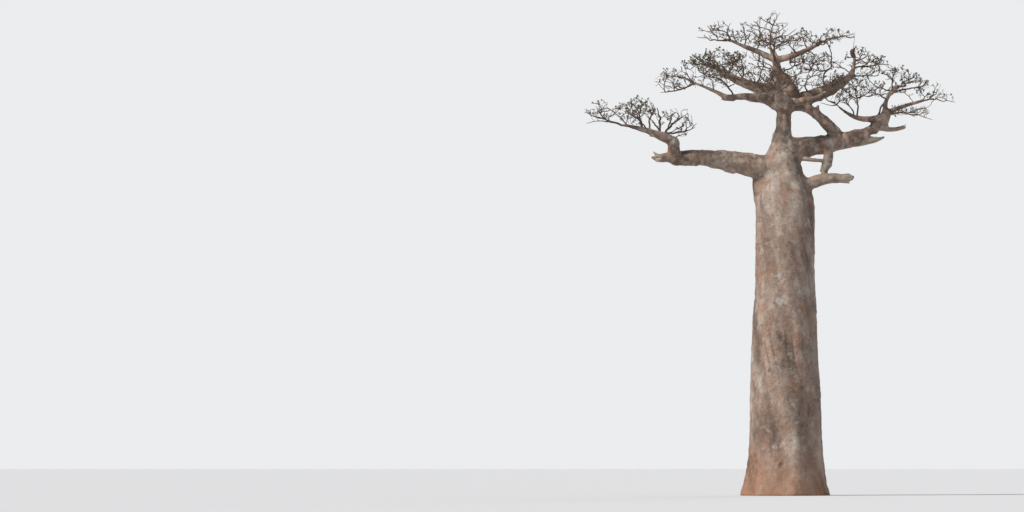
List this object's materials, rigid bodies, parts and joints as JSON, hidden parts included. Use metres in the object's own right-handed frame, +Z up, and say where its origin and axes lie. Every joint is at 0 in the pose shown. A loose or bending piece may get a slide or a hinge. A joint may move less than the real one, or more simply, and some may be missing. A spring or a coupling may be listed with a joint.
{
  "type": "baobab tree",
  "caption": "Tall baobab with a thick columnar trunk, flared foot, short neck, wide level boughs, broken stubs and a flat, open, almost leafless crown of knobby twigs.",
  "frame": {"origin": "middle of the flat cut under the trunk, at ground level", "axes": "+Z up along the trunk, +X to the right across the crown's broad side as the picture shows it, +Y away from the viewer"},
  "size_m": [18.8161, 13.0717, 24.2706],
  "materials": {
    "bark": "smooth fibrous bark, reddish grey, with fine level wrinkles, pocks and scars",
    "broken_wood": "weathered grey-tan fibrous wood of broken boughs",
    "foliage": "thin grey-brown twigs with small dull olive leaf tufts"
  },
  "bodies": {
    "root": {"trunk": "bark", "neck": "bark", "leader": "bark", "left_bough": "bark", "left_riser": "bark", "left_arm": "bark", "right_bough": "bark", "right_shoulder": "bark", "right_split_stub": "broken_wood", "right_dead_stub": "broken_wood", "crown_strut": "bark", "hanging_spur": "bark", "lower_stub": "broken_wood", "dead_bar": "broken_wood", "u_limb": "bark", "right_post": "bark", "right_reach": "bark", "right_crown_limb": "bark", "right_crown_rise": "bark", "left_low_limb": "bark", "left_low_reach": "bark", "left_high_limb": "bark", "top_left_limb": "bark", "top_right_limb": "bark", "top_mid_limb": "bark", "front_limb": "bark", "back_limb": "bark", "front_left_limb": "bark", "back_right_limb": "bark", "front_right_limb": "bark", "back_left_limb": "bark", "front_top_limb": "bark", "back_top_limb": "bark", "crown_top": "foliage", "top_left_mass": "foliage", "top_left_inner": "foliage", "top_right_mass": "foliage", "top_right_inner": "foliage", "front_top_mass": "foliage", "back_top_mass": "foliage", "left_high_mass": "foliage", "left_low_mass": "foliage", "left_low_inner": "foliage", "left_inner_mass": "foliage", "right_inner_high": "foliage", "right_inner_low": "foliage", "right_crown_mass": "foliage", "right_mid_mass": "foliage", "right_far_mass": "foliage", "right_tip_mass": "foliage", "right_under_mass": "foliage", "low_left_tip": "foliage", "low_left_mass": "foliage", "low_right_mass": "foliage", "front_mass": "foliage", "back_mass": "foliage", "front_left_mass": "foliage", "back_right_mass": "foliage", "front_right_mass": "foliage", "back_left_mass": "foliage"}
  },
  "joints": []
}
